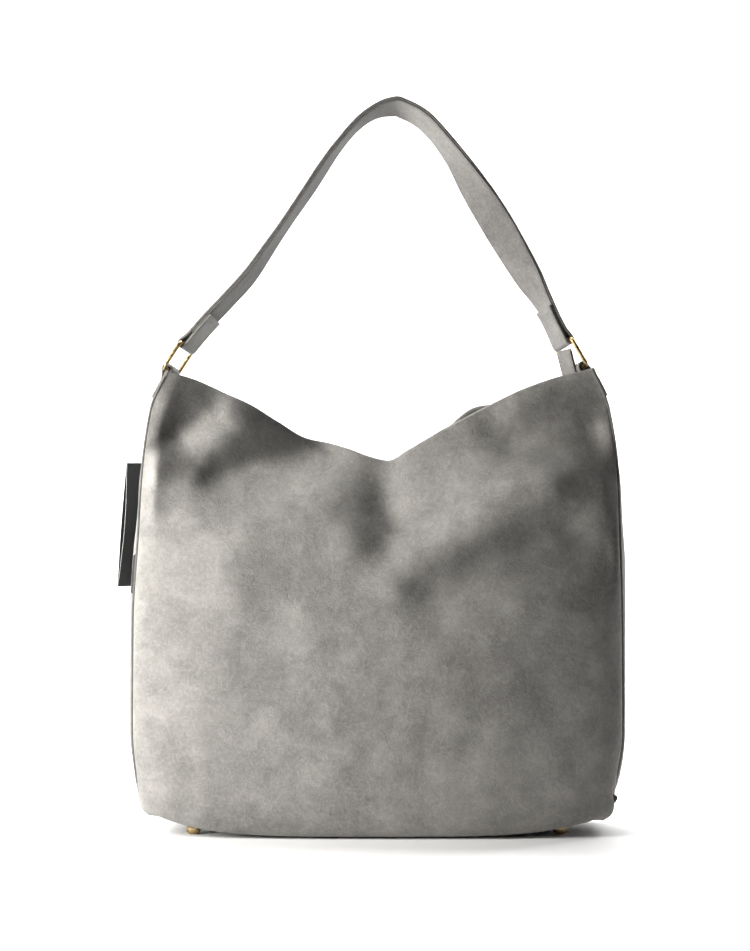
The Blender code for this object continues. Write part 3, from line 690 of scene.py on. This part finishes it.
def make_welts(skins, mat):
    """Piping in the four side seams, sunk between the panel and the gusset."""
    for name in ("front", "back"):
        grid = skins[name]
        side = -1 if name == "front" else 1
        for hand, col in (("left", 0), ("right", len(grid[0]) - 1)):
            sideways = Vector((-1 if hand == "left" else 1, 0, 0))
            points = [line[col] + sideways * 0.8 + Vector((0, -side * 0.3, 0)) for line in grid[:-1]]
            points = [p for p in points if p.z > WELT_FROM]
            radii = [0.2 + 0.85 * ease(i / 8) for i in range(len(points))]
            round_tube(
                f"piping_{name}_{hand}", points, radii, mat, "bag", (f"welt_{name}_{hand}",), sides=10,
                which="welt",
            )


# ---------------------------------------------------------------- strap, rings, tabs


def spline_through(points, steps):
    ends = [points[0] * 2 - points[1], *points, points[-1] * 2 - points[-2]]
    out = []
    for a, b, c, d in zip(ends, ends[1:], ends[2:], ends[3:]):
        for k in range(steps):
            u = k / steps
            out.append(0.5 * (
                2 * b + (c - a) * u + (2 * a - 5 * b + 4 * c - d) * u * u + (3 * b - a - 3 * c + d) * u**3
            ))
    return [*out, points[-1].copy()]


def evenly(points, count):
    lengths = [0.0]
    for a, b in zip(points, points[1:]):
        lengths.append(lengths[-1] + (b - a).length)
    out = []
    k = 0
    for i in range(count + 1):
        want = lengths[-1] * i / count
        while k < len(points) - 2 and lengths[k + 1] < want:
            k += 1
        u = (want - lengths[k]) / (lengths[k + 1] - lengths[k])
        out.append(points[k].lerp(points[k + 1], min(max(u, 0), 1)))
    return out


def in_plane(out, twist):
    front = Vector((0, -1, 0))
    return front * math.cos(twist) + out * math.sin(twist), out * math.cos(twist) - front * math.sin(twist)


def ring_frame(ring, hand):
    lower = Vector((ring[0][0], 0, ring[0][1]))
    upper = Vector((ring[1][0], 0, ring[1][1]))
    up = (upper - lower).normalized()
    out = Vector((hand * up.z, 0, -hand * up.x))
    width, face = in_plane(out, math.radians(ring[2]))
    return lower, upper, up, width, face


def make_ring(name, ring, hand, mat):
    lower, upper, up, width, _ = ring_frame(ring, hand)
    half_w, half_h = RING_WIDTH / 2, (upper - lower).length / 2
    middle = (lower + upper) / 2
    points = []
    for k, (sx, sy) in enumerate(((1, 1), (-1, 1), (-1, -1), (1, -1))):
        for step in range(9):
            angle = math.radians(90 * k + 90 * step / 8)
            across = sx * (half_w - RING_CORNER) + RING_CORNER * math.cos(angle)
            rise = sy * (half_h - RING_CORNER) + RING_CORNER * math.sin(angle)
            points.append(middle + width * across + up * rise)
    return round_tube(name + "_wire", points, RING_WIRE, mat, name, (name,), sides=20, closed=True)


def strap_frames():
    """Rows (centre, width direction, face direction) along the strap, with a sharp bend at its top."""
    left = [Vector((x, 0, z)) for x, z in STRAP_PATH[:13]]
    right = [Vector((x, 0, z)) for x, z in STRAP_PATH[12:]]
    fine = spline_through(left, 24)[:-1] + spline_through(right, 24)
    points = evenly(fine, STRAP_ROWS)
    frames = []
    for i, point in enumerate(points):
        along = (points[min(i + 2, STRAP_ROWS)] - points[max(i - 2, 0)]).normalized()
        share = max(0.0, 1 - i / 8)
        along = (along * (1 - share) + ring_frame(LEFT_RING, -1)[2] * share).normalized()
        share = max(0.0, 1 - (STRAP_ROWS - i) / 8)
        along = (along * (1 - share) - ring_frame(RIGHT_RING, 1)[2] * share).normalized()
        out = Vector((-along.z, 0, along.x))
        width, face = in_plane(out, math.radians(smooth(STRAP_TWIST, i / STRAP_ROWS)))
        frames.append((point, width, face))
    return frames


def band_loop(centre, width, face, half, low, high, cup=0.0, steps=8, edge=0.45):
    """Rounded cross-section of a leather band between two heights over its centre line."""
    thick = high - low
    r = min(edge, thick / 2 - 0.01)
    loop = []
    for sign, level in ((1, high), (-1, low)):
        for k in range(steps + 1):
            u = sign * (-1 + 2 * k / steps)
            reach = half - r
            lift = level - cup * u * u
            if k in (0, steps):
                corner = 1 if u > 0 else -1
                a = centre + width * (corner * half) + face * (lift - sign * r)
                b = centre + width * (corner * (half - r * 0.3)) + face * (lift - sign * r * 0.3)
                c = centre + width * (corner * reach) + face * lift
                loop += [a, b, c] if k == 0 else [c, b, a]
            else:
                loop.append(centre + width * (u * reach) + face * lift)
    return loop


def band(name, rows, half, low, high, mats, body, replaced=(), cup=0.0, which="strap_leather"):
    """A leather band whose faces take the first material and whose cut edges take the second."""
    steps = 8
    loops = [band_loop(c, w, f, half, low, high, cup, steps) for c, w, f in rows]
    count = len(loops[0])
    edge_spots = {0, count // 2 - 1, count // 2, count - 1}
    slots = []
    for _ in range(len(loops) - 1):
        slots += [1 if j in edge_spots else 0 for j in range(count)]
    slots += [1] * (2 * ((count - 1) // 2))
    return closed_loft(name, loops, mats, body, replaced, slots=slots, which=which, smooth_angle=60)


def fold_rows(ring, hand, steps=16):
    _, upper, up, width, face = ring_frame(ring, hand)
    rows = []
    for step in range(1, steps):
        angle = math.pi * step / steps
        radial = face * math.cos(angle) - up * math.sin(angle)
        rows.append((upper + radial * FOLD_INNER, width, radial))
    return rows


def make_strap(mats):
    frames = strap_frames()
    spacing = (frames[1][0] - frames[0][0]).length
    open_rows = round(10 / spacing)
    outer = []
    for i, (point, width, face) in enumerate(frames):
        near = min(i, STRAP_ROWS - i)
        lift = 0.2 + (FOLD_INNER - 0.2) * (1 - ease(near / open_rows))
        outer.append((point + face * lift, width, face))
    tongue_rows = round(TONGUE_LENGTH / spacing)

    def tongue(order):
        rows = []
        for near, i in enumerate(order):
            point, width, face = frames[i]
            drop = TONGUE_DROP - 0.7 + (FOLD_INNER - TONGUE_DROP + 0.7) * (1 - ease(near / open_rows))
            rows.append((point - face * drop, width, -face))
        return rows

    left_tongue = tongue(range(tongue_rows + 1))
    right_tongue = tongue(range(STRAP_ROWS, STRAP_ROWS - tongue_rows - 1, -1))
    rows = left_tongue[::-1] + fold_rows(LEFT_RING, -1)[::-1] + outer
    rows += fold_rows(RIGHT_RING, 1) + right_tongue
    both = [mats["strap"], mats["edge"]]
    band("strap_outer", rows, STRAP_WIDTH / 2, 0, 2.0, both, "strap", ("strap",))
    inner = [(p, w, f) for p, w, f in frames[5:-5]]
    faced = [mats["strap_inner"], mats["edge"]]
    facing = band("strap_inner", inner, STRAP_WIDTH / 2 - 0.5, -1.3, -0.05, faced, "strap", ("strap_facing",))
    # Painted shade: the facing's left leg, turned away from the key light, is darkened through the 'nap'
    # attribute.
    shade = [0.58 - 0.5 * ease((v.co.x / MM - 8) / 24) for v in facing.data.vertices]
    facing.data.attributes.new("nap", "FLOAT", "POINT").data.foreach_set("value", shade)
    sew = []
    reach = STRAP_WIDTH / 2 - 2.4
    between = frames[tongue_rows + 3:-tongue_rows - 3]
    for sign in (-1, 1):
        sew.append([(p + w * (sign * reach) - f * 1.3, -f) for p, w, f in between])
        sew.append([(p + w * (sign * reach) + f * 2.2, f) for p, w, f in frames[6:-6]])
    for rows in (left_tongue, right_tongue):
        for sign in (-1, 1):
            sew.append([(p + w * (sign * reach) + f * 2.0, f) for p, w, f in rows[4:-2]])
        p, w, f = rows[-3]
        sew.append([(p + w * (u / 10 * reach) + f * 2.0, f) for u in range(-10, 11)])
    stitches("strap_stitching", sew, mats["thread"], "strap")


def stitches(name, lines, mat, body, pitch=3.4, length=2.4, radius=0.28):
    """Thread laid in short sunken stitches along lines of (point, outward direction)."""
    points, faces = [], []
    for line in lines:
        travel = [0.0]
        for (a, _), (b, _) in zip(line, line[1:]):
            travel.append(travel[-1] + (b - a).length)
        k = 0
        for s in range(int((travel[-1] - length) / pitch) + 1):
            ends = []
            for want in (s * pitch, s * pitch + length / 2, s * pitch + length):
                while k < len(line) - 2 and travel[k + 1] < want:
                    k += 1
                u = (want - travel[k]) / max(travel[k + 1] - travel[k], 1e-6)
                ends.append((line[k][0].lerp(line[k + 1][0], u), line[k][1]))
            add_stitch(points, faces, ends, radius)
    add_mesh(name, points, faces, [mat], body, smooth_angle=80, which="strap_leather")


def add_stitch(points, faces, ends, radius):
    (a, up), (m, _), (b, _) = ends
    along = (b - a).normalized()
    side = along.cross(up).normalized()
    rings = (
        (a, -0.25, 0.35), (a.lerp(m, 0.5), 0.05, 0.85), (m, 0.16, 1.0), (m.lerp(b, 0.5), 0.05, 0.85),
        (b, -0.25, 0.35),
    )
    start = len(points)
    for centre, lift, size in rings:
        for k in range(6):
            angle = math.pi * k / 3
            over = up * (lift + radius * size * math.sin(angle))
            points.append(centre + over + side * (radius * size * math.cos(angle)))
    for i in range(4):
        for k in range(6):
            n = (k + 1) % 6
            faces.append(
                (start + i * 6 + k, start + i * 6 + n, start + (i + 1) * 6 + n, start + (i + 1) * 6 + k)
            )
    faces.append(tuple(start + k for k in range(6))[::-1])
    faces.append(tuple(start + 24 + k for k in range(6)))


def make_tab(name, ring, hand, seam, mats):
    """A strip over a ring's lower bar; its legs hold the gusset's top between them."""
    lower, _, up, width, face = ring_frame(ring, hand)
    side_width = Vector((0, -1, 0))
    span = seam[-1][1] - seam[0][1]

    def leg(z, depth):
        t = (z - seam[0][1]) / span
        x, _ = seam_xz(seam, t)
        slope = (seam_xz(seam, t + 0.02)[0] - seam_xz(seam, t - 0.02)[0]) / (0.04 * span)
        outward = Vector((hand, 0, -hand * slope)).normalized()
        return Vector((x, 0, z)) + outward * (smooth(GUSSET_BULGE, t) - depth), outward

    rows = []
    for drop in range(22, 7, -2):
        spot, outward = leg(lower.z - drop, -0.9)
        rows.append((spot, side_width, outward))
    turn = []
    for step in range(17):
        angle = math.pi * step / 16
        radial = face * math.cos(angle) + up * math.sin(angle)
        turn.append((lower + radial * TAB_INNER, width, radial))
    inner = []
    for drop in range(8, 23, 2):
        spot, outward = leg(lower.z - drop, 4.6)
        inner.append((spot, side_width, -outward))
    strip = rows + turn + inner
    both = [mats["nubuck"], mats["edge"]]
    tab = band(name + "_strip", strip, TAB_WIDTH / 2, 0, TAB_THICKNESS, both, "", (), which="nubuck")
    reach = TAB_WIDTH / 2 - 2.2
    sew = [[(p + w * (s * reach) + f * TAB_THICKNESS, f) for p, w, f in rows] for s in (-1, 1)]
    p, w, f = rows[1]
    sew.append([(p + w * (u / 6 * reach) + f * TAB_THICKNESS, f) for u in range(-6, 7)])
    stitches(name + "_stitching", sew, mats["thread"], "bag")
    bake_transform(tab)
    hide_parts(name)


def make_tether(mats):
    width = (Vector((0, -1, 0)) * 0.86 + Vector((0.5, 0, 0.1))).normalized()
    face = Vector((-0.86, -0.5, -0.2)).normalized()
    route = [Vector((154, 5, 333)), Vector((153, 3, 345)), Vector((149.5, 1, 358)), Vector((146, 0, 371.5))]
    rows = [(p, width, face) for p in spline_through(route, 8)]
    both = [mats["nubuck"], mats["edge"]]
    band("tether_back", rows, 9.2, 0, 1.15, both, "bag", ("ring_tether",), which="nubuck")
    band("tether_front", rows[:-1], 9.1, 1.25, 2.4, both, "bag", which="nubuck")
    sew = [[(p + w * (s * 7.2) + f * 2.4, f) for p, w, f in rows[:-1]] for s in (-1, 1)]
    stitches("tether_stitching", sew, mats["thread"], "bag")


# ---------------------------------------------------------------- tag, feet, inside


def tag_leaf(hole, side):
    """Closed loops down one leaf: its open edge bows away from the other leaf's, its folded edge meets it."""
    across = Vector((math.cos(TAG_TURN), math.sin(TAG_TURN), 0))
    face = Vector((math.sin(TAG_TURN), -math.cos(TAG_TURN), 0))
    loops = []
    for row in range(25):
        fall = row / 24
        down = -TAG_ABOVE + TAG_TALL * fall
        lean = math.sin(TAG_TILT) * down
        centre = hole - across * lean + Vector((0, 0, -math.cos(TAG_TILT) * down))
        bow = math.sin(math.pi * fall) ** 1.2 * (TAG_BOW if side > 0 else TAG_BOW * 0.3)
        front, back = [], []
        for k in range(13):
            open_share = 1 - k / 12
            spread = 0.45 + (bow + 0.25) * open_share**1.6
            u = -TAG_WIDE / 2 + TAG_WIDE * k / 12
            if k == 12:
                spread = 0.28
            front.append(centre + across * u + face * (side * (spread + 0.2)))
            back.append(centre + across * u + face * (side * (spread - 0.2)))
        loops.append(front + back[::-1])
    return loops


def make_tag(mats):
    """Folded blank card with a white core, hanging on a loop of string."""
    hole = Vector(TAG_HOLE)
    face = Vector((math.sin(TAG_TURN), -math.cos(TAG_TURN), 0))
    for name, side in (("tag_front_leaf", 1), ("tag_back_leaf", -1)):
        loops = tag_leaf(hole, side)
        count = len(loops[0])
        slots = []
        for _ in range(len(loops) - 1):
            slots += [1 if j == count - 1 else 0 for j in range(count)]
        slots += [1] * (2 * ((count - 1) // 2))
        replaced = ("swing_tag",) if side > 0 else ()
        both = [mats["card"], mats["card_edge"]]
        closed_loft(name, loops, both, "tag", replaced, slots=slots, which="card")
    spine = []
    for front, back in zip(tag_leaf(hole, 1), tag_leaf(hole, -1)):
        spine.append((front[12] + back[12]) / 2)
    round_tube("tag_fold", spine, 0.5, mats["card"], "tag", sides=10, which="card")
    down_leg = [
        Vector(p) for p in ((-166.5, 14.5, 350), (-173, 22, 336), (-178.5, 33, 315), (-182, 41, 297))
    ]
    bends = ((3.8, 7), (2.8, 0.8), (0, -0.8), (-2.8, 0.8), (-3.8, 7))
    turn = [hole + face * u + Vector((0, 0, rise)) for u, rise in bends]
    up_leg = [
        Vector(p) for p in ((-178, 47, 297), (-174, 38, 315), (-168.5, 27, 336), (-162.5, 19, 350))
    ]
    route = spline_through(down_leg + turn + up_leg, 8)
    string = round_tube(
        "string_loop", route, STRING_RADIUS, mats["string"], "tag", ("tag_string",), sides=10, which="string",
    )


def turned(name, profile, centre, mat, replaced, sides=40, which="brass"):
    rings = []
    for radius, height in profile:
        angles = [2 * math.pi * k / sides for k in range(sides)]
        rings.append([centre + Vector((radius * math.cos(a), radius * math.sin(a), height)) for a in angles])
    return closed_loft(name, rings, [mat], "bag", replaced, which=which, smooth_angle=35)


def make_feet(mats):
    floor = base_z(FOOT_X)
    for k, (sx, sy) in enumerate(((-1, -1), (1, -1), (1, 1), (-1, 1)), start=1):
        bends = [math.radians(a) for a in range(0, 91, 15)]
        dome = [(2.6 + 2.9 * math.sin(a), 3.2 - 3.2 * math.cos(a)) for a in bends]
        stem = [(5.5, floor - 1.8), (5.2, floor - 1.4), (1.6, floor - 1.4), (1.6, floor + 5)]
        profile = [(0.01, 0), (2.0, 0)] + dome + stem
        turned(f"stud_{k}", profile, Vector((sx * FOOT_X, sy * FOOT_Y, 0)), mats["brass"], (f"foot_{k}",))


def finish_nodes(mats):
    """Materials for the CAD nodes that stay."""
    looks = {
        "base_board": "board", "zip_tape": "tape", "zip_pocket": "lining", "slip_pocket": "lining",
        "snap_post": "brass", "snap_post_patch": "nubuck",
        "snap_socket": "brass", "snap_socket_patch": "nubuck",
        "zip_slider": "brass", "zip_pull": "brass", "zip_stop_closed": "brass", "zip_stop_open": "brass",
    }
    for k in range(1, 5):
        looks[f"foot_washer_{k}"] = "steel"
    for node, look in looks.items():
        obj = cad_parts[node]
        obj.data.materials.clear()
        obj.data.materials.append(mats[look])


# ---------------------------------------------------------------- studio


def area_light(name, place, look_at, size, power, colour=(1, 1, 1)):
    data = bpy.data.lights.new(name, "AREA")
    data.shape = "RECTANGLE"
    data.size, data.size_y = size
    data.energy = power
    data.color = colour
    obj = bpy.data.objects.new(name, data)
    bpy.context.scene.collection.objects.link(obj)
    obj.location = place
    obj.rotation_euler = (Vector(look_at) - Vector(place)).to_track_quat("-Z", "Y").to_euler()


def make_studio():
    """White sweep; a soft key light on the left, one overhead, a weak fill and two on the wall."""
    points, faces = [], []
    for y, z in SWEEP:
        points += [(-SWEEP_HALF, y, z), (SWEEP_HALF, y, z)]
    for i in range(len(SWEEP) - 1):
        faces.append((2 * i, 2 * i + 1, 2 * i + 3, 2 * i + 2))
    mesh = bpy.data.meshes.new("sweep")
    mesh.from_pydata(points, [], faces)
    mesh.shade_smooth()
    n = Nodes("paper_sweep")
    mesh.materials.append(n.done(n.ramp(n.noise(3, 2), [(0.3, 0.86), (0.7, 0.88)]), 0.9))
    sweep = bpy.data.objects.new("sweep", mesh)
    bpy.context.scene.collection.objects.link(sweep)
    area_light("key", (-0.66, -0.38, 0.34), (-0.05, 0, 0.2), (0.25, 0.5), 13, (1.0, 0.985, 0.96))
    area_light("overhead", (0, 0.4, 1.35), (0, -0.05, 0), (0.9, 0.5), 24)
    area_light("fill", (-0.4, -2.2, 0.7), (0, 0, 0.2), (1.0, 1.0), 0.8)
    for name, hand in (("wall_left", -1), ("wall_right", 1)):
        area_light(name, (0.6 * hand, 0.3, 0.8), (0.1 * hand, 0.97, 0.5), (0.4, 0.6), 14)
    world = bpy.data.worlds.new("studio")
    world.use_nodes = True
    glow = world.node_tree.nodes["Background"].inputs
    glow["Color"].default_value = (1, 1, 1, 1)
    glow["Strength"].default_value = 0.03
    bpy.context.scene.world = world
    bpy.context.scene.view_settings.view_transform = "Standard"


def make_camera():
    """Level, at about half the height of the whole, far back."""
    data = bpy.data.cameras.new("camera")
    data.lens = CAMERA_LENS
    data.sensor_width = 36
    obj = bpy.data.objects.new("camera", data)
    bpy.context.scene.collection.objects.link(obj)
    obj.location = CAMERA_AT
    obj.rotation_euler = (math.radians(90), 0, 0)
    bpy.context.scene.camera = obj


def main():
    make_camera()
    make_studio()
    mats = {
        "nubuck": nubuck("nubuck", 0.84),
        "strap": nubuck("strap_nubuck", 0.68, (3, 1, 2), 0.8),
        "strap_inner": nubuck("strap_inner_nubuck", 0.74, (7, 4, 1), 0.8),
        # Painted shade: the sunk piping is the same nubuck at lower lightness, which stands in for the shade
        # in the seams.
        "welt": nubuck("seam_shaded_welt_nubuck", 0.5, (5, 5, 5), 0.6),
        "edge": edge_paint("edge_paint"),
        "lining": twill("lining_twill", (0.02, 0.019, 0.018), (0.05, 0.048, 0.045)),
        "tape": twill("zip_tape_weave", (0.01, 0.01, 0.01), (0.03, 0.03, 0.03)),
        "brass": brass("satin_brass"),
        "steel": steel("washer_steel"),
        "board": card("fibre_board", (0.2, 0.16, 0.11), (0.28, 0.23, 0.16), 0.9),
        "card": card("black_card", (0.008, 0.008, 0.009), (0.016, 0.016, 0.017), 0.5),
        "card_edge": card("white_core", (0.6, 0.59, 0.57), (0.8, 0.79, 0.77), 0.8),
        "string": thread("black_string", (0.01, 0.01, 0.01), (0.05, 0.05, 0.05)),
        "thread": thread("grey_thread", (0.10, 0.097, 0.09), (0.2, 0.194, 0.18)),
    }
    skins = {}
    for side, name in ((-1, "front"), (1, "back")):
        skins[name], lining = make_panel(side, name, mats["nubuck"], 150, 140)
        closed_loft(
            "lining_of_" + name, lining, [mats["lining"]], "bag", ("lining_" + name,), which="lining",
            smooth_angle=70,
        )
    make_strip(mats)
    make_welts(skins, mats["welt"])
    make_strap(mats)
    make_ring("ring_left", LEFT_RING, -1, mats["brass"])
    make_ring("ring_right", RIGHT_RING, 1, mats["brass"])
    make_tab("tab_left", LEFT_RING, -1, LEFT_SEAM, mats)
    make_tab("tab_right", RIGHT_RING, 1, RIGHT_SEAM, mats)
    make_tether(mats)
    make_tag(mats)
    make_feet(mats)
    finish_nodes(mats)


main()
